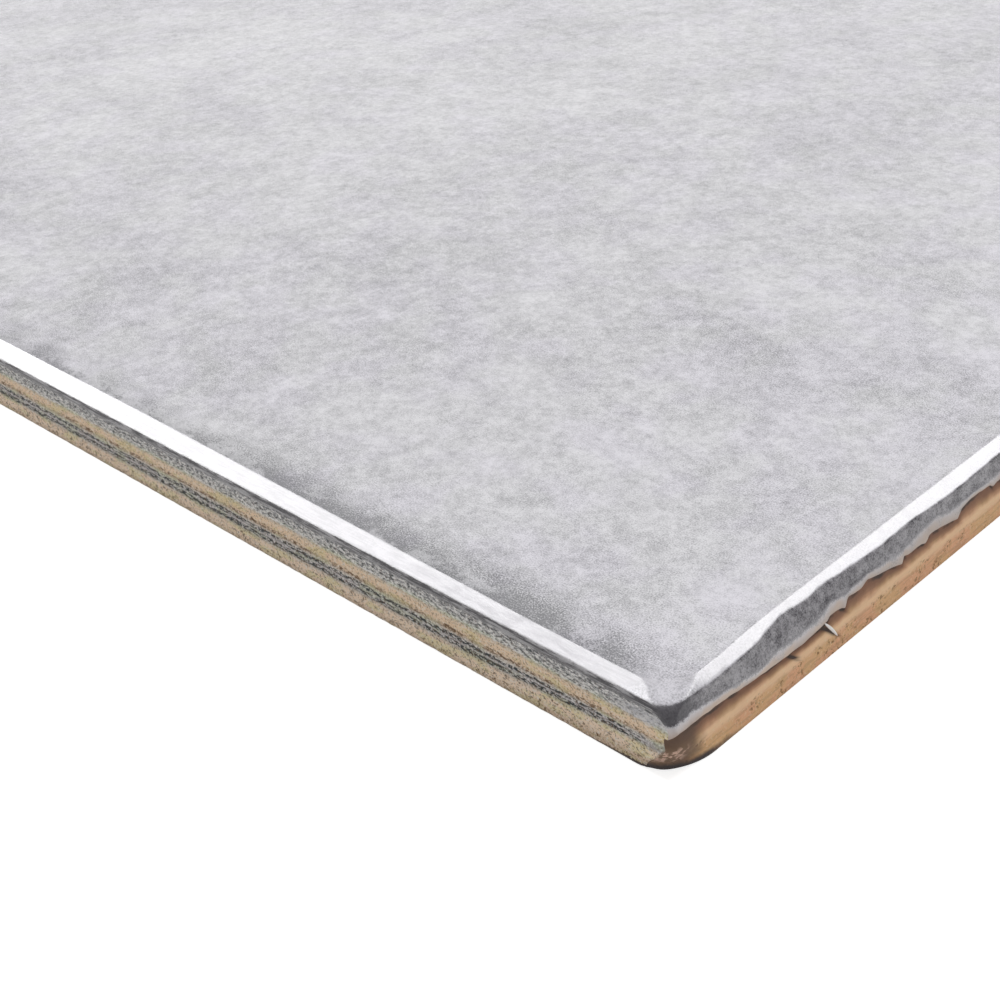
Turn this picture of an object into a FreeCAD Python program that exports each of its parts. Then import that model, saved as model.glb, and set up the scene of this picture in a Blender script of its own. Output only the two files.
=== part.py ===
import FreeCAD, Part
import math
import os

import Sketcher

# Glazed ceramic wall tile, lying on its back with the glazed face up, in millimetres.
# X runs along the tile, Y across it, and Z = 0 is the plane that the ribs of the back stand on.

doc = FreeCAD.newDocument("WallTile")

sizes = {
    # the whole tile
    "tile_length": 400.0,
    "tile_width": 250.0,
    "tile_thickness": 8.0,
    # fired clay body: the short sides keep their shape from the press, the long sides are ground flat
    "lip_height": 4.8,
    "lip_overhang": 0.3,
    "ridge_height": 3.0,
    "ridge_inset": 0.15,
    "foot_inset": 0.3,
    "ground_off": 1.6,
    "foot_corner_radius": 7.5,
    "ridge_corner_radius": 4.0,
    "lip_corner_radius": 1.8,
    # glaze: a steep band, then a margin that slopes up to the flat face
    "band_batter": 0.6,
    "margin_drop": 0.75,
    "margin_inset": 2.0,
    "glaze_corner_radius": 1.0,
    "band_corner_radius": 2.8,
    "face_corner_radius": 3.6,
    "band_round": 0.6,
    "face_round": 1.0,
    # keying ribs on the back
    "back_rim": 6.5,
    "rib_width": 3.0,
    "rib_pitch": 24.0,
    "rib_draft_degrees": 20.0,
    "recess_depth": 0.6,
}

sheet = doc.addObject("Spreadsheet::Sheet", "Sizes")
for row, (alias, value) in enumerate(sizes.items(), start=1):
    sheet.set("A%d" % row, alias)
    sheet.set("B%d" % row, str(value))
    sheet.setAlias("B%d" % row, alias)
doc.recompute()

body = doc.addObject("PartDesign::Body", "Tile")
body.Label = "tile"


def origin_feature(role):
    """The body's own origin plane or axis with this role."""
    return next(item for item in body.Origin.OriginFeatures if item.Role == role)


def flat_sketch(name, height):
    """An empty sketch parallel to the back, at a height given by an expression."""
    sketch = body.newObject("Sketcher::SketchObject", name)
    sketch.AttachmentSupport = (origin_feature("XY_Plane"), [""])
    sketch.MapMode = "FlatFace"
    sketch.setExpression("AttachmentOffset.Base.z", height)
    return sketch


def bind(sketch, constraint, name, expression):
    """Adds a dimension to a sketch, names it and ties it to the sheet."""
    index = sketch.addConstraint(constraint)
    sketch.renameConstraint(index, name)
    sketch.setExpression("Constraints." + name, expression)


def draw_rectangle(sketch, name, length, width, x=10.0, y=5.0):
    """Adds a rectangle about the sketch's origin. x and y only place it before it is solved."""
    first = sketch.GeometryCount
    corners = [FreeCAD.Vector(*corner) for corner in ((-x, -y), (x, -y), (x, y), (-x, y))]
    for start, end in zip(corners, corners[1:] + corners[:1]):
        sketch.addGeometry(Part.LineSegment(start, end), False)
    for side in range(4):
        following = first + (side + 1) % 4
        sketch.addConstraint(Sketcher.Constraint("Coincident", first + side, 2, following, 1))
    for side in (first, first + 2):
        sketch.addConstraint(Sketcher.Constraint("Horizontal", side))
        sketch.addConstraint(Sketcher.Constraint("Vertical", side + 1))
    sketch.addConstraint(Sketcher.Constraint("Symmetric", first, 1, first + 2, 1, -1, 1))
    along = Sketcher.Constraint("DistanceX", first, 1, first, 2, 2 * x)
    across = Sketcher.Constraint("DistanceY", first + 1, 1, first + 1, 2, 2 * y)
    bind(sketch, along, name + "_length", length)
    bind(sketch, across, name + "_width", width)


def rounded_outline(name, height, length, width, radius):
    """A sketch of a rectangle with round corners and its middle on the Z axis."""
    sketch = flat_sketch(name, height)
    x, y, r = 100.0, 50.0, 5.0
    starts = [(r - x, -y), (x, r - y), (x - r, y), (-x, y - r)]
    ends = [(x - r, -y), (x, y - r), (r - x, y), (-x, r - y)]
    centres = [(x - r, r - y), (x - r, y - r), (r - x, y - r), (r - x, r - y)]
    # geometry 0, 2, 4 and 6 are the sides, each followed by the corner that it runs into
    for side in range(4):
        line = Part.LineSegment(FreeCAD.Vector(*starts[side]), FreeCAD.Vector(*ends[side]))
        circle = Part.Circle(FreeCAD.Vector(*centres[side]), FreeCAD.Vector(0, 0, 1), r)
        corner = Part.ArcOfCircle(circle, (side - 1) * math.pi / 2, side * math.pi / 2)
        sketch.addGeometry(line, False)
        sketch.addGeometry(corner, False)
    for side in range(0, 8, 2):
        sketch.addConstraint(Sketcher.Constraint("Tangent", side, 2, side + 1, 1))
        sketch.addConstraint(Sketcher.Constraint("Tangent", side + 1, 2, (side + 2) % 8, 1))
    for corner in (3, 5, 7):
        sketch.addConstraint(Sketcher.Constraint("Equal", 1, corner))
    for side in (0, 4):
        sketch.addConstraint(Sketcher.Constraint("Horizontal", side))
        sketch.addConstraint(Sketcher.Constraint("Vertical", side + 2))
    sketch.addConstraint(Sketcher.Constraint("Symmetric", 1, 3, 5, 3, -1, 1))
    bind(sketch, Sketcher.Constraint("Radius", 1, r), "radius", radius)
    bind(sketch, Sketcher.Constraint("Distance", 2, 1, 6, 2 * x), "length", length)
    bind(sketch, Sketcher.Constraint("Distance", 0, 1, 4, 2 * y), "width", width)
    return sketch


def loft(name, sections):
    """Straight walls through a stack of sketches, added to the body."""
    feature = body.newObject("PartDesign::AdditiveLoft", name)
    feature.Profile = sections[0]
    feature.Sections = sections[1:]
    feature.Ruled = True
    return feature


def pocket(name, sketch, depth):
    """A pocket upwards from the plane of a sketch on the back."""
    feature = body.newObject("PartDesign::Pocket", name)
    feature.Profile = sketch
    feature.Reversed = True
    feature.setExpression("Length", depth)
    return feature


# Fired body: foot, ridge and lip of the pressed sides. These sections are wider than the tile by
# what the grinding of the long sides takes off, so each corner is left with a cut arris.
pressed_width = "Sizes.tile_width + 2 * Sizes.ground_off"
foot_length = "Sizes.tile_length - 2 * Sizes.foot_inset"
ridge_length = "Sizes.tile_length - 2 * Sizes.ridge_inset"
lip_length = "Sizes.tile_length - 2 * Sizes.lip_overhang"
ridge_height = "Sizes.ridge_height"
lip_height = "Sizes.lip_height"
foot = rounded_outline("Foot", "0", foot_length, pressed_width, "Sizes.foot_corner_radius")
ridge = rounded_outline("Ridge", ridge_height, ridge_length, pressed_width, "Sizes.ridge_corner_radius")
lip = rounded_outline("Lip", lip_height, lip_length, pressed_width, "Sizes.lip_corner_radius")
loft("Biscuit", [foot, ridge, lip])

# Grinding: a frame around the finished width goes, so that both long sides are flat.
grinding = flat_sketch("GrindingFrame", "0")
draw_rectangle(grinding, "inner", "2 * Sizes.tile_length", "Sizes.tile_width")
outer_width = "Sizes.tile_width + 4 * Sizes.ground_off"
draw_rectangle(grinding, "outer", "3 * Sizes.tile_length", outer_width, x=20.0, y=10.0)
pocket("Grinding", grinding, lip_height)

# Glaze: it stands out over the short sides as a lip, leans in to the top of its steep band and
# then slopes up to the face as a narrow margin.
band_height = "Sizes.tile_thickness - Sizes.margin_drop"
band_length = "Sizes.tile_length - 2 * Sizes.band_batter"
face_length = "Sizes.tile_length - 2 * Sizes.margin_inset"
face_width = "Sizes.tile_width - 2 * Sizes.margin_inset"
glaze_foot = rounded_outline(
    "GlazeFoot", lip_height, "Sizes.tile_length", "Sizes.tile_width", "Sizes.glaze_corner_radius"
)
band_top = rounded_outline(
    "BandTop", band_height, band_length, "Sizes.tile_width", "Sizes.band_corner_radius"
)
face = rounded_outline(
    "Face", "Sizes.tile_thickness", face_length, face_width, "Sizes.face_corner_radius"
)
glaze = loft("Glaze", [glaze_foot, band_top, face])
doc.recompute()


def round_edges(name, base, sketch, radius):
    """Rounds the ring of edges that lies in the plane of a sketch."""
    height = sketch.Placement.Base.z
    tolerance = 1e-4
    ring = []
    for number, edge in enumerate(base.Shape.Edges, start=1):
        box = edge.BoundBox
        if abs(box.ZMin - height) < tolerance and abs(box.ZMax - height) < tolerance:
            ring.append("Edge%d" % number)
    feature = body.newObject("PartDesign::Fillet", name)
    feature.Base = (base, ring)
    feature.setExpression("Radius", radius)
    doc.recompute()
    return feature


band_round = round_edges("BandRound", glaze, band_top, "Sizes.band_round")
round_edges("FaceRound", band_round, face, "Sizes.face_round")

# Back: one shallow recess inside a rim, crossed by ribs both ways.
recess_length = "Sizes.tile_length - 2 * Sizes.back_rim"
recess_width = "Sizes.tile_width - 2 * Sizes.back_rim"
rib_draft = "Sizes.rib_draft_degrees * 1 deg"
recess = flat_sketch("RecessOutline", "0")
draw_rectangle(recess, "recess", recess_length, recess_width)
hollow = pocket("Recess", recess, "Sizes.recess_depth")
hollow.setExpression("TaperAngle", "-" + rib_draft)


def rib_row(name, length, width, role, extent):
    """A row of ribs along an axis, one pitch apart, with one of them on the middle line."""
    free_half = "(%s / 2 - Sizes.back_rim - Sizes.rib_width)" % extent
    each_side = "floor(%s / Sizes.rib_pitch)" % free_half
    sketch = flat_sketch(name + "Outline", "0")
    sketch.setExpression("AttachmentOffset.Base." + role[0].lower(), "-%s * Sizes.rib_pitch" % each_side)
    draw_rectangle(sketch, "rib", length, width)
    rib = body.newObject("PartDesign::Pad", name)
    rib.Profile = sketch
    rib.setExpression("Length", "Sizes.recess_depth")
    rib.setExpression("TaperAngle", rib_draft)
    doc.recompute()
    row = body.newObject("PartDesign::LinearPattern", name + "Row")
    row.Originals = [rib]
    row.Direction = (origin_feature(role), [""])
    row.setExpression("Occurrences", "2 * %s + 1" % each_side)
    row.setExpression("Length", "2 * %s * Sizes.rib_pitch" % each_side)
    body.Tip = row
    doc.recompute()


rib_row("CrossRib", "Sizes.rib_width", recess_width, "X_Axis", "Sizes.tile_length")
rib_row("LongRib", recess_length, "Sizes.rib_width", "Y_Axis", "Sizes.tile_width")

for item in doc.Objects:
    if "Invalid" in item.State or "Error" in item.State:
        raise RuntimeError("%s did not compute: %s" % (item.Name, item.State))
shape = body.Shape
if shape.isNull() or not shape.isValid() or len(shape.Solids) != 1:
    raise RuntimeError("the tile is not one valid solid")

box = shape.optimalBoundingBox(False)
print("tile: %.3f x %.3f x %.3f mm, from z = %.3f" % (box.XLength, box.YLength, box.ZLength, box.ZMin))
print("volume %.1f cm3, %d faces" % (shape.Volume / 1000, len(shape.Faces)))
os.makedirs("parts", exist_ok=True)
shape.exportStep(os.path.join("parts", body.Label + ".step"))
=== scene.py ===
import math

import bmesh
import bpy
import numpy as np
from mathutils import Matrix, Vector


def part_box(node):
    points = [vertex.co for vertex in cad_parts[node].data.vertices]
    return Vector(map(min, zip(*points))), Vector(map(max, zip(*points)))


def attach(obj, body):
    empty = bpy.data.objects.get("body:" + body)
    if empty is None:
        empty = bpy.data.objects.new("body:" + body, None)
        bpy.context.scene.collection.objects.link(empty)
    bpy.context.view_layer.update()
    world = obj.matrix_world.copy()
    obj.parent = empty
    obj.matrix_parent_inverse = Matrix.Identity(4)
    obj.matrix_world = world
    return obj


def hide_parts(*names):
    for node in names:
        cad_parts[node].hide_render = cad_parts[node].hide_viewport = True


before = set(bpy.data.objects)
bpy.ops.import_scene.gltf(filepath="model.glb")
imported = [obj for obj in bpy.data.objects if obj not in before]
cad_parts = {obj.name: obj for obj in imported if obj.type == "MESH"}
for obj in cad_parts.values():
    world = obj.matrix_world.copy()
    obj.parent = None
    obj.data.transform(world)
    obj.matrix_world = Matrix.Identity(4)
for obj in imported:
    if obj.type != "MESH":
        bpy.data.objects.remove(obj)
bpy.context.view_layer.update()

# All shapes are worked out in millimetres and turned into metres when a mesh is made.
mm = 0.001
tileLow, tileHigh = (np.array(corner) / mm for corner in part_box("tile"))
halfLength, halfWidth, thickness = tileHigh[0], tileHigh[1], tileHigh[2]
nearCorner = np.array([halfLength, -halfWidth, 0.0])
print("frame loaded: tile", (tileHigh - tileLow).round(2), "mm")


view = {
    "place": (66.4, -78.2, 94.0),  # mm from the foot of the near corner
    "turn": 47.4,  # degrees from +Y towards -X
    "lookDown": 32.1,
    "roll": -5.2,
    "lens": 57.7,
    "sensor": 36.0,
}


def makeCamera():
    turn, down, roll = (math.radians(view[key]) for key in ("turn", "lookDown", "roll"))
    ahead = np.array([-math.sin(turn) * math.cos(down), math.cos(turn) * math.cos(down), -math.sin(down)])
    level = np.array([math.cos(turn), math.sin(turn), 0.0])
    above = np.cross(level, ahead)
    right = math.cos(roll) * level + math.sin(roll) * above
    up = math.cos(roll) * above - math.sin(roll) * level
    data = bpy.data.cameras.new("camera")
    data.lens, data.sensor_width = view["lens"], view["sensor"]
    data.clip_start = 0.001
    camera = bpy.data.objects.new("camera", data)
    bpy.context.collection.objects.link(camera)
    place = (nearCorner + view["place"]) * mm
    axes = np.column_stack([right, up, -ahead, place])
    camera.matrix_world = Matrix(np.vstack([axes, [0, 0, 0, 1]]).tolist())
    bpy.context.scene.camera = camera


makeCamera()
bpy.context.scene.view_settings.view_transform = "Standard"
print("camera set")


class Socket:
    # one output of a node, so that masks can be written as sums and products
    def __init__(self, graph, link):
        self.graph, self.link = graph, link

    def maths(self, operation, first, second):
        return self.graph.node("ShaderNodeMath", {"operation": operation}, {0: first, 1: second})

    def __add__(self, other):
        return self.maths("ADD", self, other)

    def __radd__(self, other):
        return self.maths("ADD", other, self)

    def __sub__(self, other):
        return self.maths("SUBTRACT", self, other)

    def __rsub__(self, other):
        return self.maths("SUBTRACT", other, self)

    def __mul__(self, other):
        return self.maths("MULTIPLY", self, other)

    def __rmul__(self, other):
        return self.maths("MULTIPLY", other, self)

    def __truediv__(self, other):
        return self.maths("DIVIDE", self, other)

    def __abs__(self):
        return self.maths("ABSOLUTE", self, 0.0)

    def rise(self, low, high):
        # 0 at low, 1 at high, a smooth climb in between; low above high turns it round
        if low > high:
            return 1.0 - self.rise(high, low)
        settings = {"interpolation_type": "SMOOTHSTEP"}
        values = {"Value": self, "From Min": low, "From Max": high}
        return self.graph.node("ShaderNodeMapRange", settings, values)


class Graph:
    # the node tree of one material, or of the world
    def __init__(self, owner):
        owner.use_nodes = True
        self.owner, self.tree = owner, owner.node_tree
        self.tree.nodes.clear()

    def node(self, kind, settings, values, output=0):
        made = self.tree.nodes.new(kind)
        for key, value in settings.items():
            if key == "stops":
                self.setStops(made.color_ramp, value)
            else:
                setattr(made, key, value)
        for key, value in values.items():
            if isinstance(value, Socket):
                self.tree.links.new(value.link, made.inputs[key])
            else:
                made.inputs[key].default_value = value
        return Socket(self, made.outputs[output]) if len(made.outputs) else made

    def setStops(self, ramp, stops):
        while len(ramp.elements) < len(stops):
            ramp.elements.new(1.0)
        for element, (place, colour) in zip(ramp.elements, stops):
            element.position, element.color = place, (*colour, 1.0)

    def ramp(self, value, stops):
        return self.node("ShaderNodeValToRGB", {"stops": stops}, {0: value})

    def attribute(self, name):
        return self.node("ShaderNodeAttribute", {"attribute_name": name}, {}, "Fac")

    def place(self, stretch=(1.0, 1.0, 1.0)):
        # object coordinates in millimetres, each multiplied by its stretch
        spot = self.node("ShaderNodeTexCoord", {}, {}, "Object")
        factors = tuple(value / mm for value in stretch)
        return self.node("ShaderNodeVectorMath", {"operation": "MULTIPLY"}, {0: spot, 1: factors})

    def axis(self, index):
        # the object coordinate along X, Y or Z alone, in millimetres
        return self.node("ShaderNodeSeparateXYZ", {}, {0: self.place()}, index)

    def noise(self, spot, size, detail=2.0, rough=0.5):
        # noise around 0.5 whose largest grains are about this many millimetres long
        values = {"Vector": spot, "Scale": 1.0 / size, "Detail": detail, "Roughness": rough}
        return self.node("ShaderNodeTexNoise", {}, values, "Fac")

    def mix(self, amount, first, second, blend="MIX"):
        settings = {"data_type": "RGBA", "blend_type": blend}
        first, second = (value if isinstance(value, Socket) else (*value, 1.0) for value in (first, second))
        return self.node("ShaderNodeMix", settings, {0: amount, 6: first, 7: second}, 2)

    def grey(self, value):
        return self.node("ShaderNodeCombineColor", {}, {0: value, 1: value, 2: value})

    def bump(self, height):
        # the height is in millimetres
        return self.node("ShaderNodeBump", {}, {"Height": height, "Distance": mm})

    def finish(self, values):
        shader = self.node("ShaderNodeBsdfPrincipled", {}, values)
        self.node("ShaderNodeOutputMaterial", {}, {0: shader})
        return self.owner


room = {
    "floorHalf": 12.0,  # m
    "floorColour": (0.8, 0.8, 0.8, 1.0),
    "floorWhite": 0.73,  # what rays from the camera see on top of the lit floor
    "sky": 0.36,
}


def seenRay(graph):
    # 1 for rays that come from the camera or off a glossy or clear surface
    seen = graph.node("ShaderNodeLightPath", {}, {}, "Is Camera Ray")
    glossy = graph.node("ShaderNodeLightPath", {}, {}, "Is Glossy Ray")
    through = graph.node("ShaderNodeLightPath", {}, {}, "Is Transmission Ray")
    return (seen + glossy + through).rise(0.0, 1.0)


def makeRoom():
    graph = Graph(bpy.data.materials.new("paleFloor"))
    material = graph.finish({
        "Base Color": room["floorColour"],
        "Roughness": 1.0,
        "Specular IOR Level": 0.0,
        "Emission Color": graph.grey(seenRay(graph)),
        "Emission Strength": room["floorWhite"],
    })
    half = room["floorHalf"]
    mesh = bpy.data.meshes.new("floor")
    corners = [(-half, -half, 0.0), (half, -half, 0.0), (half, half, 0.0), (-half, half, 0.0)]
    mesh.from_pydata(corners, [], [(0, 1, 2, 3)])
    mesh.materials.append(material)
    floor = bpy.data.objects.new("floor", mesh)
    bpy.context.collection.objects.link(floor)

    bpy.context.scene.world = bpy.data.worlds.new("paleRoom")
    sky = Graph(bpy.context.scene.world)
    strength = room["sky"] + (1.0 - room["sky"]) * seenRay(sky)
    backdrop = sky.node("ShaderNodeBackground", {}, {"Color": (1.0, 1.0, 1.0, 1.0), "Strength": strength})
    sky.node("ShaderNodeOutputWorld", {}, {0: backdrop})


lamps = {
    # direction from the near corner, distance and size in metres, brightness of the lit panel
    "long": {"heading": 175.5, "height": 50.0, "distance": 2.5, "across": 0.55, "along": 1.9, "glow": 8.0},
    "short": {"heading": 85.0, "height": 47.0, "distance": 2.5, "across": 1.05, "along": 1.05, "glow": 7.3},
}


def makeLamp(name):
    lamp = lamps[name]
    heading, height = math.radians(lamp["heading"]), math.radians(lamp["height"])
    flat = math.cos(height)
    out = np.array([math.cos(heading) * flat, math.sin(heading) * flat, math.sin(height)])
    across = np.array([-math.sin(heading), math.cos(heading), 0.0])
    data = bpy.data.lights.new(name + "Lamp", "AREA")
    data.shape = "RECTANGLE"
    data.size, data.size_y = lamp["across"], lamp["along"]
    data.energy = lamp["glow"] * math.pi * lamp["across"] * lamp["along"]
    light = bpy.data.objects.new(name + "Lamp", data)
    bpy.context.collection.objects.link(light)
    place = nearCorner * mm + out * lamp["distance"]
    axes = np.column_stack([across, np.cross(out, across), out, place])
    light.matrix_world = Matrix(np.vstack([axes, [0, 0, 0, 1]]).tolist())


makeRoom()
for name in lamps:
    makeLamp(name)
print("floor and lamps set")


# Control rings of the edge, from the flat of the face over the rim and down to the foot, in mm:
# inset and height on a pressed side, inset and height on a ground side, corner radius, and how far
# the body would stand past a long side if that side had not been ground.
edgeRings = np.array([
    (12.0, 8.00, 12.0, 8.00, 6.0, 0.0),
    (5.0, 8.00, 5.2, 8.00, 4.0, 0.0),
    (2.75, 8.00, 2.6, 8.00, 3.5, 0.0),
    (2.4, 8.00, 2.35, 8.00, 3.35, 0.0),
    (2.15, 7.94, 2.2, 7.955, 3.25, 0.0),
    (1.4, 7.70, 1.40, 7.70, 2.9, 0.0),
    (0.90, 7.50, 0.60, 7.45, 2.5, 0.0),
    (0.70, 7.36, 0.16, 7.32, 2.2, 0.0),
    (0.62, 7.15, 0.02, 7.10, 1.8, 0.0),
    (0.50, 6.75, 0.0, 6.75, 1.3, 0.0),
    (0.34, 6.25, 0.0, 6.25, 0.9, 0.0),
    (0.16, 5.90, 0.0, 5.90, 0.7, 0.0),
    (0.03, 5.40, 0.0, 5.50, 0.6, 0.0),
    (0.02, 5.00, 0.0, 5.10, 0.6, 0.0),
    (0.10, 4.68, 0.0, 4.80, 0.6, 0.0),
    (0.26, 4.66, 0.0, 4.70, 0.9, 0.4),
    (0.46, 4.72, 0.0, 4.65, 1.6, 1.2),
    (0.46, 4.50, 0.0, 4.50, 2.0, 1.6),
    (0.42, 4.25, 0.0, 4.25, 2.2, 1.6),
    (0.34, 3.95, 0.0, 3.95, 2.4, 1.6),
    (0.25, 3.60, 0.0, 3.60, 2.7, 1.6),
    (0.16, 3.20, 0.0, 3.20, 3.4, 1.6),
    (0.10, 2.75, 0.0, 2.75, 4.2, 1.6),
    (0.17, 2.20, 0.0, 2.00, 5.0, 1.6),
    (0.16, 1.20, 0.0, 1.10, 6.4, 1.6),
    (0.09, 0.50, 0.0, 0.45, 7.0, 1.6),
    (0.06, 0.10, 0.0, 0.10, 7.2, 1.6),
    (0.14, 0.00, 0.04, 0.00, 7.1, 1.6),
    (1.80, 0.00, 1.80, 0.00, 6.5, 1.6),
])

edge = {
    # share of the lip's ups and downs that each ring takes
    "lipRings": {
        11: 0.1, 12: 0.4, 13: 0.8, 14: 1.0, 15: 1.0, 16: 1.0, 17: 1.0, 18: 0.9, 19: 0.65, 20: 0.35, 21: 0.1,
    },
    # share of the band's climb over the rim, inwards and upwards
    "bandRings": {4: 0.15, 5: 0.55, 6: 1.0, 7: 0.9, 8: 0.6, 9: 0.3, 10: 0.1},
    "bandRise": 0.34,
    "pinchRings": {2: 0.8, 3: 1.0, 4: 0.8, 5: 0.3},
    # how much wider the slope of a ground side is, by the distance from its end, and each ring's share
    "widening": [
        (0, 0.0), (2.5, 0.0), (6, -0.4), (18, -0.4), (34, -0.15), (53, 0.15), (80, 0.45), (400, 0.45),
    ],
    "wideRings": {2: 1.0, 3: 1.0, 4: 1.0, 5: 0.6, 6: 0.2},
    "creaseRings": {2: 0.9, 3: 1.0, 4: 0.3},  # the face is darker by the crease of that slope
    "lipHeight": 4.66,
    "lipLimits": (-0.7, 1.0),
    "lipRing": 13,  # ring whose place counts as the run along a pressed side
    "farSideRun": 30.0,  # mm from the end of one pressed side's run to the start of the other's
    "glazeEnds": 16,  # first ring of the clay on a pressed side
    "groundFrom": 8,  # first ring of the ground flat on a long side
    # drops and spacing of the hooks where the lip's course isn't given
    "hookDrops": (0.1, 0.6),
    "hookGaps": (4.0, 12.0),
    # waves along a pressed side: height and length
    "lipRipple": (0.05, 0.8),
    "bandWave": (0.3, 6.0),
    "bandRipple": (0.03, 0.9),
    "borderWave": (0.25, 3.0),
    "bandMean": 0.15,
    "borderMean": 5.7,
    # the ground flat, its chipped foot and its broken arris
    "flatRough": 0.03,
    "flatGrain": 0.7,
    "chipDepth": 0.06,
    "chipLength": 0.9,
    "arrisReach": 0.8,
    "arrisDepth": 0.75,
    "arrisGrain": 0.75,
    # the glaze's lower edge on the short side by the near corner: mm from the corner, height
    "lip": [
        (0, 5.06), (3.5, 5.06), (4.8, 4.95), (7.6, 4.84), (9, 4.62), (10.4, 4.42), (13.3, 4.27), (16, 4.10),
        (18.7, 4.04), (20.5, 4.18), (21.3, 4.25), (22.1, 4.43), (22.4, 4.83), (23.3, 4.85), (24.3, 4.63),
        (24.9, 4.30), (25.2, 5.35), (26.3, 5.18), (27.5, 5.11), (28.1, 5.44), (28.4, 5.60), (29.1, 5.41),
        (30.5, 5.06), (32.2, 4.69), (33.9, 4.20), (34.4, 4.02), (34.6, 4.89), (35.3, 4.64), (37.7, 4.61),
        (38.6, 4.30), (38.9, 4.91), (39.4, 4.98), (40.9, 4.81), (42.4, 4.50), (43.7, 4.29), (44.4, 4.14),
        (44.8, 4.98), (45.6, 5.21), (46.7, 5.36), (48.2, 5.31), (50.2, 5.19), (51, 4.66), (51.5, 4.90),
        (54, 4.95),
    ],
    # how far the dark band climbs in from the rim there
    "band": [
        (0, -0.05), (1.5, -0.08), (3.5, -0.2), (7, -0.2), (8, -0.13), (9.6, -0.1), (10.8, 0.06),
        (11.8, 0.26), (13, 0.45), (14.4, 0.6), (16, 0.6), (17.6, 0.44), (19, 0.36), (20.4, 0.56),
        (22.2, 0.54), (23.7, 0.32), (25.3, 0.32), (27, 0.18), (28.6, 0.12), (30, 0.02), (33.5, 0.15),
        (35.2, 0.16), (37.5, 0.03), (40, -0.1), (44, -0.18), (49, -0.05), (54, 0.05),
    ],
    # how far the slope behind the rim narrows by the corner
    "pinch": [(0, 0.55), (4, 0.5), (6, 0.32), (8.5, 0.14), (11, 0.04), (13, 0.0)],
    # and the height at which the dark band gives way to the pale rim
    "border": [
        (0, 5.9), (2.4, 6.0), (5.4, 5.75), (8.7, 5.5), (12.1, 5.2), (13.9, 5.6), (20.3, 5.5), (22.6, 5.95),
        (25.2, 5.75), (28.7, 5.9), (33.8, 5.65), (38.9, 6.15), (40.7, 6.15), (42.6, 5.7), (50, 5.6),
    ],
    # grooves in the clay under the lip, which the clay paints dark as the shadows of the sliver and the
    # hooks, and a sliver of glaze that hangs from it, in the same terms
    "shadowGrooves": [
        [(19.6, 4.3), (20.9, 4.15), (21.5, 3.85), (22.1, 3.5), (22.7, 2.95), (23.4, 2.25)],
        [(15.9, 4.15), (16.5, 3.7), (17.0, 3.3), (17.5, 2.9)],
        [(24.6, 4.3), (25.1, 3.95)],
        [(34.9, 4.5), (35.3, 4.3)],
        [(38.1, 4.45), (38.5, 4.25)],
        [(51.1, 4.6), (51.4, 4.35)],
    ],
    "crackDepth": 0.14,
    "crackHalf": 0.17,
    "sliver": [(21.7, 4.45), (22.3, 3.77), (22.81, 3.19), (23.32, 2.54), (23.9, 1.75)],
    "sliverHalf": (0.03, 0.14),  # half width at the ends, and what the middle has on top
    "sliverSink": 0.14,  # its middle lies this far inside the widest part of the tile
    "seed": 41,
}


def graded(start, end, first, last):
    # places from start to end whose spacing grows evenly from first to last
    count = max(2, round(abs(end - start) / ((first + last) / 2)))
    share = np.linspace(0.0, 1.0, count + 1)[:-1]
    return start + (end - start) * (first * share + (last - first) * share**2 / 2) / ((first + last) / 2)


def mottle(u, v, size, seed):
    # smooth noise from -1 to 1: random numbers on a square lattice, blended between its points
    period = 210
    lattice = np.random.default_rng(seed).uniform(-1.0, 1.0, (period + 1, period + 1))
    spot = np.array([u / size, v / size])
    low = np.floor(spot).astype(int)
    part = spot - low
    part = part * part * (3.0 - 2.0 * part)
    column, row = low % period
    near = lattice[column, row] * (1 - part[0]) + lattice[column + 1, row] * part[0]
    far = lattice[column, row + 1] * (1 - part[0]) + lattice[column + 1, row + 1] * part[0]
    return near * (1 - part[1]) + far * part[1]


def perimeter():
    # which stretch each sample lies on (0 front side, 1 near corner, 2 right side ... 7 left corner)
    # and where on it: -1 to 1 along a side, 0 to 1 round a corner
    along, across = halfLength - 3.0, halfWidth - 6.0
    # The samples lie closest together by the near corner. Each stretch is given by its start, end,
    # first and last spacing, in mm along a side and as shares of the turn round a corner.
    stretches = [
        np.concatenate([graded(-along, 77.0, 1.4, 1.2), graded(77.0, along, 0.5, 0.24)]) / along,
        graded(0.0, 1.0, 1 / 40, 1 / 40),
        np.concatenate([graded(-across, -60.0, 0.13, 0.3), graded(-60.0, across, 0.8, 1.4)]) / across,
        graded(0.0, 1.0, 1 / 12, 1 / 12),
        graded(along, -along, 1.6, 1.6) / along,
        graded(0.0, 1.0, 1 / 12, 1 / 12),
        graded(across, -across, 1.6, 1.6) / across,
        graded(0.0, 1.0, 1 / 12, 1 / 12),
    ]
    stretch = np.concatenate([np.full(len(part), index) for index, part in enumerate(stretches)])
    return stretch, np.concatenate(stretches)


def raggedCourse(runs, seed, depth, gap):
    # height of a torn edge: slow slopes down that end in sudden hooks
    rng = np.random.default_rng(seed)
    places, heights = [runs.min()], [0.0]
    while places[-1] < runs.max():
        step, drop = rng.uniform(*gap), rng.uniform(*depth)
        places += [places[-1] + step, places[-1] + step + rng.uniform(0.2, 0.6)]
        heights += [-drop, rng.uniform(-0.1, 0.5)]
    return np.interp(runs, places, heights)


def known(runs, course, otherwise):
    # the course as given where it is given, and the other values elsewhere
    places, heights = np.array(course).T
    return np.where((runs >= places[0]) & (runs <= places[-1]), np.interp(runs, places, heights), otherwise)


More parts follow.
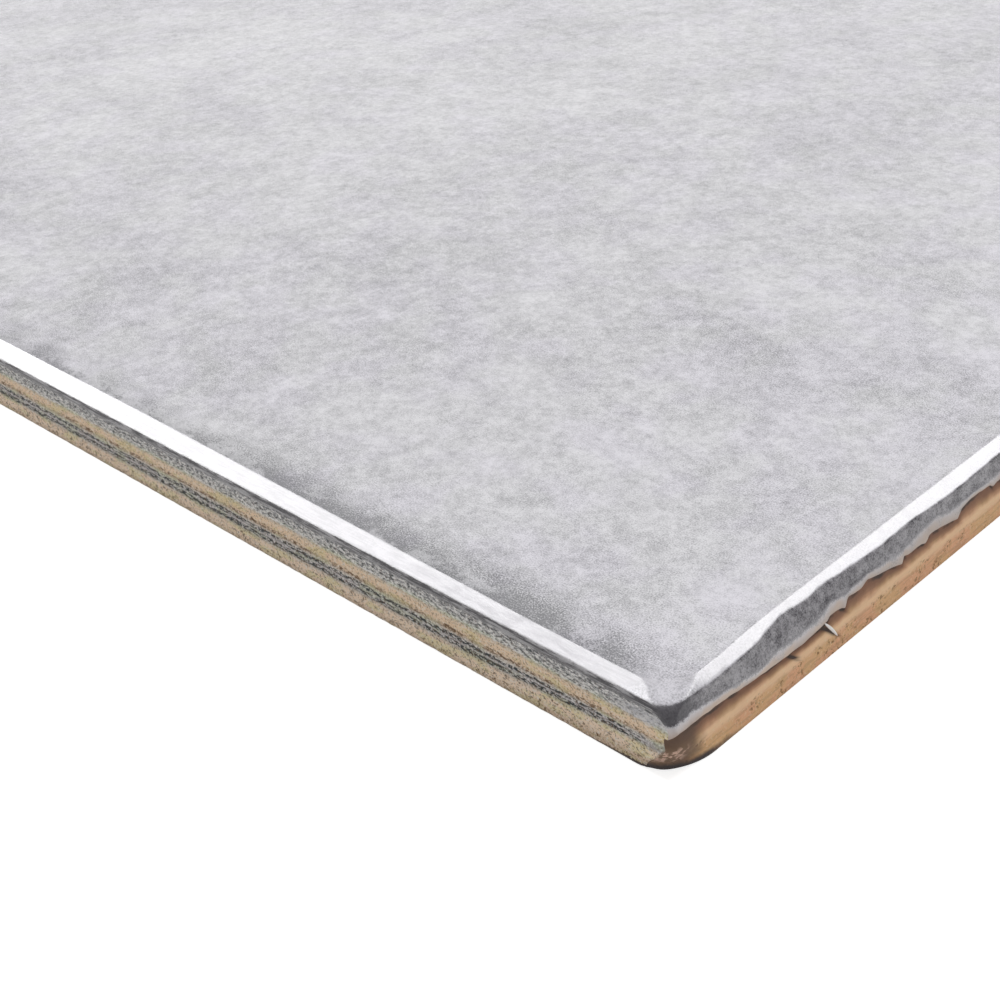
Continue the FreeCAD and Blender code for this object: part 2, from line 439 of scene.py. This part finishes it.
def edgeSurface():
    # Each control ring is a rounded rectangle of half sizes a and b. Its long sides are cut straight at
    # "cut", so a corner arc runs from the angle where it leaves the cut to the short side.
    stretch, share = perimeter()
    insetShort, heightShort, insetLong, heightLong, radius, beyond = edgeRings.T
    a = halfLength - insetShort
    cut = halfWidth - insetLong
    b = np.where(beyond > 0, halfWidth + beyond - insetShort, cut)
    leave = np.arcsin(np.clip((cut - b + radius) / radius, 0.0, 1.0))
    arrisX = a - radius + radius * np.cos(leave)
    sideY = np.minimum(b - radius, cut)

    t = share[:, None]
    isLong = np.isin(stretch, (0, 4))[:, None]
    isShort = np.isin(stretch, (2, 6))[:, None]
    towards = np.isin(stretch, (1, 5))[:, None]  # corners passed from a long side to a short one
    turn = np.where(towards, 1.0 - t, t)
    angle = leave * turn
    signX = np.where(np.isin(stretch, (0, 1, 2, 3)), 1.0, -1.0)[:, None]
    signY = np.where(np.isin(stretch, (0, 1, 7)), -1.0, 1.0)[:, None]
    arcX, arcY = a - radius + radius * np.cos(angle), b - radius + radius * np.sin(angle)
    x = np.where(isLong, t * arrisX, np.where(isShort, signX * a, signX * arcX))
    y = np.where(isLong, signY * cut, np.where(isShort, t * sideY, signY * arcY))
    ground = np.where(isLong, 1.0, np.where(isShort, 0.0, turn**2 * (3 - 2 * turn))) + 0.0 * a
    z = ground * heightLong + (1.0 - ground) * heightShort
    # the materials go by the height that a point has before the edge is made ragged
    rise = z.copy()
    return stretch, x, y, z, rise, ground


def shares(name):
    return np.array([edge[name].get(ring, 0.0) for ring in range(len(edgeRings))])


def shapeEdge(x, y, z, ground):
    # Over a pressed side the glaze's lower edge sags and hooks, and the band over the rim waves. The run
    # goes on from one pressed side to the other, so that each has waves of its own.
    farSide = 3 * halfWidth - y + edge["farSideRun"]
    runs = np.where(x > 0, y + halfWidth, farSide)[:, edge["lipRing"]]
    seed = edge["seed"]

    def waves(name, offset):
        height, length = edge[name]
        return height * mottle(runs, 0 * runs, length, seed + offset)

    torn = edge["lipHeight"] + raggedCourse(runs, seed, edge["hookDrops"], edge["hookGaps"])
    lip = known(runs, edge["lip"], torn) - edge["lipHeight"] + waves("lipRipple", 1)
    lip = np.clip(lip, *edge["lipLimits"])
    band = known(runs, edge["band"], edge["bandMean"] + waves("bandWave", 2))
    band = band + waves("bandRipple", 5)
    border = known(runs, edge["border"], edge["borderMean"] + waves("borderWave", 6))
    pinch = known(runs, edge["pinch"], 0.0)
    pressed = 1.0 - ground
    z = z + pressed * lip[:, None] * shares("lipRings")
    inwards = band[:, None] * shares("bandRings")
    z = z + pressed**2 * inwards * edge["bandRise"]
    outwards = pinch[:, None] * shares("pinchRings")
    x = x + np.sign(x) * pressed**2 * (outwards - inwards)
    # the ground flat is slightly uneven, and its foot is chipped; the last ring lies on the back
    rings = np.arange(len(edgeRings))
    outside = rings < len(rings) - 1
    flat = ground * ((rings >= edge["groundFrom"]) & outside)
    rough = 0.5 + 0.5 * mottle(x, z * 2.0, edge["flatGrain"], seed + 3)
    chips = np.clip(mottle(x, 0 * z, edge["chipLength"], seed + 4) - 0.3, 0.0, 1.0)
    chips = chips * edge["chipDepth"] * (rings >= len(rings) - 3)
    y = y - np.sign(y) * flat * (edge["flatRough"] * rough + chips)
    wider = np.interp(halfLength - np.abs(x), *np.array(edge["widening"]).T)
    y = y - np.sign(y) * ground * wider * shares("wideRings")
    # the arris of the ground flat is broken, so it moves in and out from ring to ring
    clay = rings > edge["glazeEnds"]
    fromArris = np.hypot(np.abs(x) - np.abs(x[0]), halfWidth - np.abs(y))
    broken = np.exp(-(fromArris / edge["arrisReach"]) ** 2) * clay
    broken = broken * (0.5 + 0.5 * mottle(z, 3.0 * np.sign(x) + 9.0, edge["arrisGrain"], seed + 7))
    x = x - np.sign(x) * edge["arrisDepth"] * broken * outside
    y = y - np.sign(y) * 0.25 * edge["arrisDepth"] * broken * outside
    # the grooves run down the clay; the clay darkens them as painted shadow
    crack = sum(lineDepth(np.array(line), y + halfWidth, z) for line in edge["shadowGrooves"])
    crack = np.clip(crack, 0.0, 1.0) * (x > 0) * clay
    return x - edge["crackDepth"] * crack, y, z, border, crack


def lineDepth(line, runs, heights):
    # 1 on the line, falling off as a bell curve with the distance to its nearest stretch
    nearest = np.full(runs.shape, np.inf)
    for (startRun, startHeight), (endRun, endHeight) in zip(line[:-1], line[1:]):
        stepRun, stepHeight = endRun - startRun, endHeight - startHeight
        share = (runs - startRun) * stepRun + (heights - startHeight) * stepHeight
        share = np.clip(share / (stepRun**2 + stepHeight**2), 0.0, 1.0)
        away = np.hypot(runs - startRun - share * stepRun, heights - startHeight - share * stepHeight)
        nearest = np.minimum(nearest, away)
    return np.exp(-(nearest / edge["crackHalf"]) ** 2)


def makeSliver():
    # A strand that thins to both ends: round its curved path, points at the sine and cosine of their
    # angle times the half width. It lies on the clay of the right side.
    spokes, steps = 8, 12
    runs, heights = np.array(edge["sliver"]).T
    share = np.linspace(0.0, 1.0, steps + 1)
    path = np.linspace(0.0, 1.0, len(runs))
    thin, swell = edge["sliverHalf"]
    half = (thin + swell * np.sin(math.pi * share) ** 0.6)[:, None]
    angle = np.arange(spokes) * math.pi / (spokes / 2)
    y = np.interp(share, path, runs)[:, None] - halfWidth + 0.8 * half * np.cos(angle)
    z = np.interp(share, path, heights)[:, None] + 0.6 * half * np.cos(angle)
    x = halfLength - edge["sliverSink"] + 0.75 * half * np.sin(angle)
    points = np.stack([x, y, z], axis=2).reshape(-1, 3)
    ring, spot = np.meshgrid(np.arange(steps) * spokes, np.arange(spokes), indexing="ij")
    after = (spot + 1) % spokes
    corners = [ring + spot, ring + spokes + spot, ring + spokes + after, ring + after]
    quads = np.stack(corners, axis=2).reshape(-1, 4)
    last = len(points) - 1
    ends = [list(range(spokes)), list(range(last, last - spokes, -1))]
    return points, quads.tolist() + ends


def halved(count):
    # A curve through the rings' middles, with each ring pulling it: every span between two middles is
    # a parabola, and this table gives its ends and its middle point.
    table = np.zeros((2 * count - 1, count))
    table[0, 0], table[-1, -1] = 1.0, 1.0
    for ring in range(count - 1):
        table[2 * ring + 1, ring:ring + 2] = 0.5
    for ring in range(1, count - 1):
        table[2 * ring, ring - 1:ring + 2] = (0.125, 0.75, 0.125)
    return table


back = {
    "rim": 6.5,
    "depth": 0.6,
    "ribWidth": 3.0,
    "ribPitch": 24.0,
    "draft": 20.0,  # degrees
    "crossRibs": 15,
    "longRibs": 9,
}


def backLines(half, ribs):
    # the grid lines of the back along one direction, and the height of the recess at each
    slope = back["depth"] * math.tan(math.radians(back["draft"]))
    middles = (np.arange(ribs) - (ribs - 1) / 2) * back["ribPitch"]
    halfRib = back["ribWidth"] / 2
    steps = np.array([-halfRib - slope, -halfRib, halfRib, halfRib + slope])
    lines = (middles[:, None] + steps).ravel()
    heights = np.tile([back["depth"], 0.0, 0.0, back["depth"]], ribs)
    ends = np.array([half, half - slope])
    lines = np.concatenate([-ends, lines, ends[::-1]])
    heights = np.concatenate([[0.0, back["depth"]], heights, [back["depth"], 0.0]])
    return lines, heights


def makeTile():
    stretch, x, y, z, rise, ground = edgeSurface()
    x, y, z, border, crack = shapeEdge(x, y, z, ground)
    crease = (0.3 + 0.7 * ground) * shares("creaseRings")
    table = halved(len(edgeRings))
    spots = np.stack([x, y, z], axis=2)
    spots = np.einsum("rk,nkc->nrc", table, spots)
    rise, ground, crack, crease = (values @ table.T for values in (rise, ground, crack, crease))
    border = np.repeat(border[:, None], rise.shape[1], axis=1)
    count, rows = spots.shape[:2]
    wall = spots.reshape(-1, 3)

    # quads of the wall: from one sample to the next, from one ring down to the next
    sample, row = np.meshgrid(np.arange(count), np.arange(rows - 1), indexing="ij")
    following = (sample + 1) % count
    here, ahead = sample * rows + row, following * rows + row
    quads = np.stack([here, here + 1, ahead + 1, ahead], axis=2).reshape(-1, 4)

    # back: a grid of ribs standing in a shallow recess
    linesX, heightsX = backLines(halfLength - back["rim"], back["crossRibs"])
    linesY, heightsY = backLines(halfWidth - back["rim"], back["longRibs"])
    gridX, gridY = np.meshgrid(linesX, linesY, indexing="ij")
    gridZ = np.minimum(heightsX[:, None], heightsY[None, :])
    grid = np.stack([gridX, gridY, gridZ], axis=2).reshape(-1, 3)
    i, j = np.meshgrid(np.arange(len(linesX) - 1), np.arange(len(linesY) - 1), indexing="ij")
    here = count * rows + i * len(linesY) + j
    ahead = here + len(linesY)
    cells = np.stack([here, here + 1, ahead + 1, ahead], axis=2).reshape(-1, 4)

    strand, strandFaces = makeSliver()
    points = np.concatenate([wall, grid, strand])
    strandFaces = [[len(wall) + len(grid) + corner for corner in face] for face in strandFaces]
    top = np.arange(count) * rows
    mesh = bpy.data.meshes.new("glazedTile")
    faces = quads.tolist() + [top.tolist()] + cells.tolist() + strandFaces
    mesh.from_pydata((points * mm).tolist(), [], faces)

    # the wall, the face in the middle, the back and the strand follow each other
    glaze, cutEdge, clay = 0, 1, 2
    isGround = np.isin(stretch, (0, 4))[sample.ravel()] & (row.ravel() >= 2 * edge["groundFrom"])
    isClay = row.ravel() >= 2 * edge["glazeEnds"] - 1
    material = np.full(len(faces), clay, dtype=np.int32)
    material[:len(quads)] = np.where(isGround, cutEdge, np.where(isClay, clay, glaze))
    material[len(quads)] = glaze
    material[-len(strandFaces):] = glaze
    mesh.polygons.foreach_set("material_index", material)
    smooth = np.ones(len(faces), dtype=bool)
    smooth[len(quads):-len(strandFaces)] = False
    mesh.polygons.foreach_set("use_smooth", smooth)
    # the strand reads as just under a far border, where the rim is palest, and as broken glaze; its near
    # white is partly a painted highlight
    ofStrand = {"rise": 59.0, "ground": 0.0, "border": 60.0, "crack": 1.0, "crease": 0.0}
    for name, values in zip(ofStrand, (rise, ground, border, crack, crease)):
        layer = mesh.attributes.new(name, "FLOAT", "POINT")
        padded = np.concatenate([values.ravel(), np.zeros(len(grid)), np.full(len(strand), ofStrand[name])])
        layer.data.foreach_set("value", padded)

    # the flat rim of the back, between the foot and the recess
    work = bmesh.new()
    work.from_mesh(mesh)
    loose = [line for line in work.edges if line.is_boundary]
    filled = bmesh.ops.triangle_fill(work, use_beauty=True, use_dissolve=False, edges=loose)
    for face in filled["geom"]:
        if isinstance(face, bmesh.types.BMFace):
            face.material_index, face.smooth = clay, False
            if face.normal.z > 0:
                face.normal_flip()
    work.to_mesh(mesh)
    work.free()
    tile = bpy.data.objects.new("glazedTile", mesh)
    bpy.context.collection.objects.link(tile)
    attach(tile, "root")
    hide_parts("tile")
    return tile


tile = makeTile()
triangles = sum(len(face.vertices) - 2 for face in tile.data.polygons)
print("tile made:", triangles, "triangles")

stoneGlaze = {
    "pale": (0.745, 0.728, 0.780),
    "greenish": (0.994, 1.008, 0.972),  # tint of some patches of the face
    "dim": (0.225, 0.221, 0.24),
    # the slope colours are a painted highlight: pale and smooth where glare would hide the print
    "slope": (0.70, 0.68, 0.72),
    "slopeDim": (0.58, 0.565, 0.60),
    "bandPale": (0.44, 0.425, 0.45),
    "bandDark": (0.045, 0.04, 0.05),
    "streakPale": (0.46, 0.45, 0.46),
    "streakDark": (0.07, 0.065, 0.07),
    # from the lip, 0, up to the border of the dark band, 1
    "rim": [
        (0.0, (0.43, 0.32, 0.25)), (0.3, (0.54, 0.44, 0.39)), (0.6, (0.63, 0.56, 0.53)),
        (0.85, (0.69, 0.65, 0.66)), (1.0, (0.76, 0.74, 0.77)),
    ],
    "rimDim": (0.32, 0.28, 0.26),
    "rimWarm": (0.66, 0.50, 0.38),
    # near white of broken glaze; on the strand it is also a painted highlight
    "broken": (0.97, 0.95, 0.93),
    # size in mm, detail and roughness of the smudges, clouds, flecks, mottling and grain
    "noises": [(55.0, 3.0, 0.55), (13.0, 4.0, 0.6), (2.4, 3.0, 0.6), (0.75, 3.0, 0.65), (0.17, 1.0, 0.75)],
    # heights between which the slope gives way to the face, and the dark band to the slope
    "slopeTop": (7.99, 7.95),
    "bandTop": (7.50, 7.38),
    "roughness": 0.15,
    "wornRoughness": 0.16,  # more where the slope of a ground side is scuffed
}


def makeGlaze():
    graph = Graph(bpy.data.materials.new("stoneGlaze"))
    spot = graph.place()
    rise, ground, border = graph.attribute("rise"), graph.attribute("ground"), graph.attribute("border")
    along, across = abs(graph.axis(0)), abs(graph.axis(1))
    corner = halfLength + halfWidth  # what along and across come to at a corner
    noises = [graph.noise(spot, *numbers) - 0.5 for numbers in stoneGlaze["noises"]]
    smudge, cloud, fleck, mottled, grain = noises
    streak = graph.noise(graph.place((0.09, 1.0, 1.0)), 0.24, 3.0, 0.65)
    # dark smudges lie along the ground sides, inside the slope, most of all towards the corners
    soiled = graph.noise(graph.place((0.6, 1.0, 1.0)), 3.4, 3.0, 0.65) + fleck * 0.4 + mottled * 0.6
    soiled = soiled + along.rise(halfLength - 80.0, halfLength - 14.0) * 0.08
    soiled = across.rise(halfWidth - 7.5, halfWidth - 3.0) * soiled.rise(0.43, 0.59)
    soiled = soiled * along.rise(halfLength - 4.0, halfLength - 9.0)
    atCorner = (along + across).rise(corner - 8.0, corner - 4.5)
    lively = 1.6 - smudge * 2.0 - cloud * 3.0 + soiled * 1.4 - atCorner * 0.7
    tone = 0.65 + smudge * 0.36 + cloud * 0.6 + fleck * 0.8 + mottled * 0.88 + grain * lively - soiled * 0.5
    tone = tone + (along + across).rise(corner - 24.0, corner - 9.0) * 0.10
    crease = graph.attribute("crease").rise(0.2, 1.0) * (1.0 - atCorner)
    tone = tone - crease * (fleck * 1.6 + grain + 0.35).rise(0.0, 0.6) * 0.32
    # painted reflection: the face is lighter towards the short sides
    tone = tone + along.rise(halfLength - 60.0, halfLength - 8.0) * 0.08
    face = graph.mix(tone, stoneGlaze["dim"], stoneGlaze["pale"])
    tinted = (graph.noise(spot, 9.0, 3.0, 0.6) + smudge * 0.5).rise(0.38, 0.62)
    face = graph.mix(tinted, face, stoneGlaze["greenish"], "MULTIPLY")
    # the slope behind the rim is painted pale and smooth, a painted highlight that stands in for the glare
    # hiding the print there, with faint streaks along it
    glareStreaks = (streak * ground + fleck * 0.5 + grain * 0.8).rise(0.66, 0.40)
    slope = graph.mix(glareStreaks, stoneGlaze["slopeDim"], stoneGlaze["slope"])
    onSlope = rise.rise(*stoneGlaze["slopeTop"]) * (0.6 + ground * 0.25) * (1.0 - atCorner)
    face = graph.mix(onSlope, face, slope)
    # over the rim: dark speckled band, pale rounded rim, warm thin lip
    speckles = 0.47 + grain * 1.5 + mottled * 1.5 + fleck * 1.3
    dark = graph.mix(speckles, stoneGlaze["bandDark"], stoneGlaze["bandPale"])
    cut = ground.rise(0.6, 0.95)
    streaks = streak.rise(0.42, 0.62) * 0.8 + grain * 0.5
    streaks = graph.mix(streaks, stoneGlaze["streakDark"], stoneGlaze["streakPale"])
    dark = graph.mix(cut, dark, streaks)
    # nearly black where both bands meet at the corner
    meeting = along.rise(halfLength - 5.0, halfLength - 1.5) * across.rise(halfWidth - 5.0, halfWidth - 1.5)
    dark = graph.mix(meeting * 0.85, dark, stoneGlaze["bandDark"])
    # the rim darkens and turns brown towards the lip, where the glaze is thin
    upRim = (rise - edge["lipHeight"]) / (border - edge["lipHeight"]) + fleck * 0.6 + mottled * 0.5
    rim = graph.ramp(upRim, stoneGlaze["rim"])
    spotted = (fleck * 1.2 + mottled * 1.2 + grain * 1.2).rise(0.05, 0.5)
    rim = graph.mix(spotted * 0.8, rim, stoneGlaze["rimDim"])
    warm = graph.noise(spot, 2.8, 2.0).rise(0.44, 0.60) * upRim.rise(1.2, 0.5)
    rim = graph.mix(warm * 0.65, rim, stoneGlaze["rimWarm"])
    farther = across.rise(halfWidth - 14.0, halfWidth - 32.0)
    rim = graph.mix(farther * 0.3, rim, stoneGlaze["rimDim"])
    edgeHeight = rise + ground * 0.05 + fleck * 0.1 + grain * 0.05
    colour = graph.mix(edgeHeight.rise(*stoneGlaze["bandTop"]), face, dark)
    pale = (rise - border + fleck * 0.9 + mottled * 0.5 + grain * 0.5).rise(0.22, -0.2)
    colour = graph.mix(pale, colour, rim)
    # broken glaze is near white, and on the strand this also serves as a painted highlight
    colour = graph.mix(graph.attribute("crack"), colour, stoneGlaze["broken"])
    relief = graph.noise(spot, 1.3, 2.0) * 0.003
    worn = ground * graph.noise(graph.place((0.3, 1.0, 1.0)), 1.1, 3.0, 0.65).rise(0.45, 0.65)
    worn = worn * along.rise(halfLength - 60.0, halfLength - 20.0)
    return graph.finish({
        "Base Color": colour,
        "Roughness": stoneGlaze["roughness"] + pale * 0.25 + worn * stoneGlaze["wornRoughness"],
        "IOR": 1.5,
        "Normal": graph.bump(relief),
    })


groundEdge = {
    # the layers of the cut edge from the foot upwards: height in mm, colour
    "layers": [
        (0.0, (0.72, 0.54, 0.39)), (0.9, (1.0, 0.79, 0.60)), (1.5, (0.98, 0.78, 0.60)),
        (1.9, (0.70, 0.60, 0.50)), (2.3, (0.42, 0.395, 0.37)), (2.72, (0.68, 0.635, 0.63)),
        (3.1, (0.44, 0.415, 0.41)), (3.45, (0.76, 0.69, 0.62)), (3.8, (0.58, 0.44, 0.32)),
        (4.1, (0.87, 0.65, 0.45)), (4.8, (0.93, 0.71, 0.50)), (5.25, (0.70, 0.59, 0.46)),
        (5.5, (0.84, 0.81, 0.78)), (5.8, (0.60, 0.585, 0.56)), (6.3, (0.56, 0.55, 0.55)),
        (6.6, (0.44, 0.43, 0.44)), (7.0, (0.28, 0.27, 0.28)),
    ],
    # rows of dark dashes: height, half width, strength
    "rows": [(2.34, 0.27, 1.0), (3.12, 0.24, 1.0), (6.1, 0.55, 0.3)],
    "rustRow": (3.85, 0.24),  # height, half width
    "dash": (0.028, 0.036, 0.038),
    "rust": (0.15, 0.085, 0.04),
    "olive": (0.88, 0.97, 0.76),
    "chalk": (0.92, 0.89, 0.86),
    "cornerGrey": (0.58, 0.57, 0.60),
    # painted shadow along the foot
    "foot": (0.07, 0.05, 0.045),
    "brown": (0.22, 0.14, 0.09),
    "roughness": 0.85,
}


def makeGroundEdge():
    graph = Graph(bpy.data.materials.new("groundEdge"))
    spot = graph.place()
    along, level = abs(graph.axis(0)), graph.axis(2)
    fine = graph.noise(spot, 0.24, 1.0, 0.7)
    blot = graph.noise(graph.place((0.8, 1.0, 1.0)), 0.42, 3.0, 0.75)
    dash = graph.noise(graph.place((0.38, 1.0, 1.0)), 0.27, 2.0, 0.7)
    line = graph.noise(graph.place((0.08, 1.0, 1.0)), 0.26, 3.0, 0.65)
    drift = graph.noise(graph.place((0.3, 1.0, 1.0)), 2.4, 2.0) - 0.5
    patch = graph.noise(graph.place((0.35, 1.0, 1.0)), 1.3, 2.0)
    # the layers bend up towards the corners, so their heights are read lower there
    bend = along.rise(halfLength - 26.0, halfLength - 3.0) * level.rise(4.2, 2.2) * 0.8
    height = level - bend + drift * 0.3
    ragged = height + (dash - 0.5) * 0.7 + (line - 0.5) * 0.5

    stops = [(top / thickness, colour) for top, colour in groundEdge["layers"]]
    colour = graph.ramp(ragged / thickness, stops)
    olive = patch.rise(0.48, 0.60) * height.rise(6.0, 5.4) * 0.75
    colour = graph.mix(olive, colour, groundEdge["olive"], "MULTIPLY")
    lit = (fine * 0.6 + dash * 0.4).rise(0.50, 0.66)
    colour = graph.mix(lit * 0.6, colour, groundEdge["chalk"])
    # dark dashes gather in rows, and rust brown pits lie in the sandy layers
    wandering = height + (patch - 0.5) * 0.5 + (blot - 0.5) * 0.5
    rows = 0.0
    for middle, half, strength in groundEdge["rows"]:
        rows = abs(wandering - middle).rise(half * 1.6, half * 0.6) * strength + rows
    fading = along.rise(halfLength - 1.5, halfLength - 5.0)
    dashes = (dash * 0.7 + fine * 0.2 + line * 0.1).rise(0.55, 0.47) * rows * fading
    colour = graph.mix(dashes, colour, groundEdge["dash"])
    middle, half = groundEdge["rustRow"]
    rusty = abs(wandering - middle).rise(half * 1.6, half * 0.6) * fading
    pits = blot.rise(0.46, 0.36) * (0.30 + 0.6 * height.rise(2.2, 1.4)) + fine.rise(0.45, 0.34) * 0.6
    pits = pits + rusty * (blot * 0.5 + dash * 0.5).rise(0.54, 0.46) * patch.rise(0.62, 0.42)
    colour = graph.mix(pits * 0.85, colour, groundEdge["rust"])
    # streaks under the highlight, as on the glaze over them
    top = (height + (dash - 0.5) * 0.4).rise(6.5, 6.9)
    streaks = graph.mix(line.rise(0.42, 0.62) * 0.8, stoneGlaze["streakDark"], stoneGlaze["streakPale"])
    colour = graph.mix(top * 0.85, colour, streaks)
    # by the corner the layer under them is clean and pale
    pale = along.rise(halfLength - 9.0, halfLength - 4.0) * (ragged.rise(5.2, 5.5) * ragged.rise(6.7, 6.3))
    colour = graph.mix(pale * (0.5 + lit * 0.5), colour, groundEdge["cornerGrey"])
    # worn to light and dark grains under the streaks
    speck = graph.noise(graph.place((0.42, 1.0, 1.0)), 0.27, 3.0, 0.8)
    worn = height.rise(5.15, 5.6) * height.rise(7.0, 6.6) * (1.0 - pale * 0.5)
    colour = graph.mix(worn * speck.rise(0.50, 0.60) * 0.85, colour, groundEdge["chalk"])
    colour = graph.mix(worn * speck.rise(0.49, 0.39) * 0.9, colour, groundEdge["dash"])
    # brown clay breaks out along the arris of the corner, and a painted shadow darkens the foot, most of
    # all by the corner
    reach = along - halfLength + 3.27 - level * 0.72
    arris = (reach + (blot - 0.5) * 1.6 + (fine - 0.5) * 0.8).rise(-0.35, -0.1) * level.rise(3.6, 2.9)
    colour = graph.mix(arris * 0.85, colour, groundEdge["brown"])
    low = 0.3 + along.rise(halfLength - 12.0, halfLength - 4.0) * 0.7
    footShadow = (level - low * 0.3 + (fine - 0.5) * 0.3).rise(0.14, 0.0)
    colour = graph.mix(footShadow * low, colour, groundEdge["foot"])
    relief = fine * 0.03 + dash * 0.02
    return graph.finish({
        "Base Color": colour,
        "Roughness": groundEdge["roughness"] - top * 0.45,
        "Normal": graph.bump(relief * (1.0 - top)),
    })


pressedClay = {
    "body": (0.88, 0.495, 0.285),
    "ochre": (0.84, 0.525, 0.27),
    # partly wear, partly a painted highlight along the crest
    "ridge": (1.0, 0.69, 0.43),
    "shade": (0.27, 0.135, 0.08),
    # painted shadow under the lip and in the grooves
    "gap": (0.05, 0.03, 0.022),
    "grit": (0.30, 0.145, 0.05),
    "spark": (0.98, 0.78, 0.54),
    "crumb": (0.82, 0.55, 0.43),
    # painted shade of the corner and of its foot
    "brown": (0.105, 0.062, 0.04),
    "footShade": (0.035, 0.026, 0.026),
    "roughness": 0.75,
}


def makeClay():
    graph = Graph(bpy.data.materials.new("pressedClay"))
    spot = graph.place()
    rise, crack = graph.attribute("rise"), graph.attribute("crack")
    fromSide = halfWidth - abs(graph.axis(1))
    atEnd = abs(graph.axis(0)).rise(halfLength - 10.0, halfLength - 5.0)
    wander = graph.noise(spot, 1.4, 3.0) - 0.5
    height = rise + wander * 0.6
    patch = graph.noise(spot, 3.5, 3.0)
    grain = graph.noise(spot, 0.30, 3.0, 0.75)
    drag = graph.noise(graph.place((1.0, 0.12, 1.0)), 0.35, 2.0)
    colour = graph.mix(patch.rise(0.42, 0.58), pressedClay["body"], pressedClay["ochre"])
    colour = graph.mix(drag.rise(0.52, 0.40) * 0.22, colour, pressedClay["shade"])
    corner = (fromSide + wander * 2.0).rise(4.6, 2.4) * atEnd
    # lighter along the crest: partly wear, partly a painted highlight where the bulge faces the light
    crestWearAndHighlight = height.rise(1.7, 2.6) * height.rise(3.6, 2.8) * (0.65 + drag * 0.5) * (1.0 - corner)
    colour = graph.mix(crestWearAndHighlight, colour, pressedClay["ridge"])
    # painted shade under the lip's overhang, darker towards the lip
    colour = graph.mix(height.rise(2.9, 3.95), colour, pressedClay["shade"])
    pitted = height.rise(2.7, 2.1) * graph.noise(spot, 1.9, 2.0).rise(0.46, 0.60)
    gritty = (graph.noise(spot, 0.5, 2.0, 0.6).rise(0.44, 0.36) + grain.rise(0.46, 0.36) * 0.6) * pitted
    colour = graph.mix(gritty * 0.85, colour, pressedClay["grit"])
    colour = graph.mix(grain.rise(0.55, 0.68) * 0.55 * height.rise(3.3, 2.8), colour, pressedClay["spark"])
    # painted shadow: nearly black just under the lip, and in the grooves where the sliver and the hooks
    # cast shadows
    underLipShadow = (rise + wander * 0.5).rise(3.95, 4.2) * graph.noise(spot, 2.2, 2.0).rise(0.35, 0.6)
    colour = graph.mix(underLipShadow + crack * 1.7, colour, pressedClay["gap"])
    # painted shade: the corner, which faces away from the lamps, is darker brown, and darker still towards
    # the foot
    colour = graph.mix(corner * 0.88, colour, pressedClay["brown"])
    # pink crumbs cling to the broken arris
    crumbs = (fromSide + wander).rise(2.6, 1.4) * height.rise(0.9, 1.4) * height.rise(3.4, 2.8)
    crumbs = crumbs * graph.noise(spot, 0.55, 2.0).rise(0.46, 0.60)
    colour = graph.mix(crumbs * 0.75, colour, pressedClay["crumb"])
    # painted shade along the foot, darkest at the corner
    cornerFootShade = (fromSide + wander * 3.0).rise(11.0, 4.0) * atEnd
    low = (height - cornerFootShade * 0.55).rise(0.5, -0.25) * (0.25 + cornerFootShade * 0.75)
    colour = graph.mix(low, colour, pressedClay["footShade"])
    relief = (grain - gritty * 0.6) * 0.03 + drag * 0.02
    return graph.finish({
        "Base Color": colour,
        "Roughness": pressedClay["roughness"],
        "Normal": graph.bump(relief),
    })


for material in (makeGlaze(), makeGroundEdge(), makeClay()):
    tile.data.materials.append(material)
print("glaze and clay set")
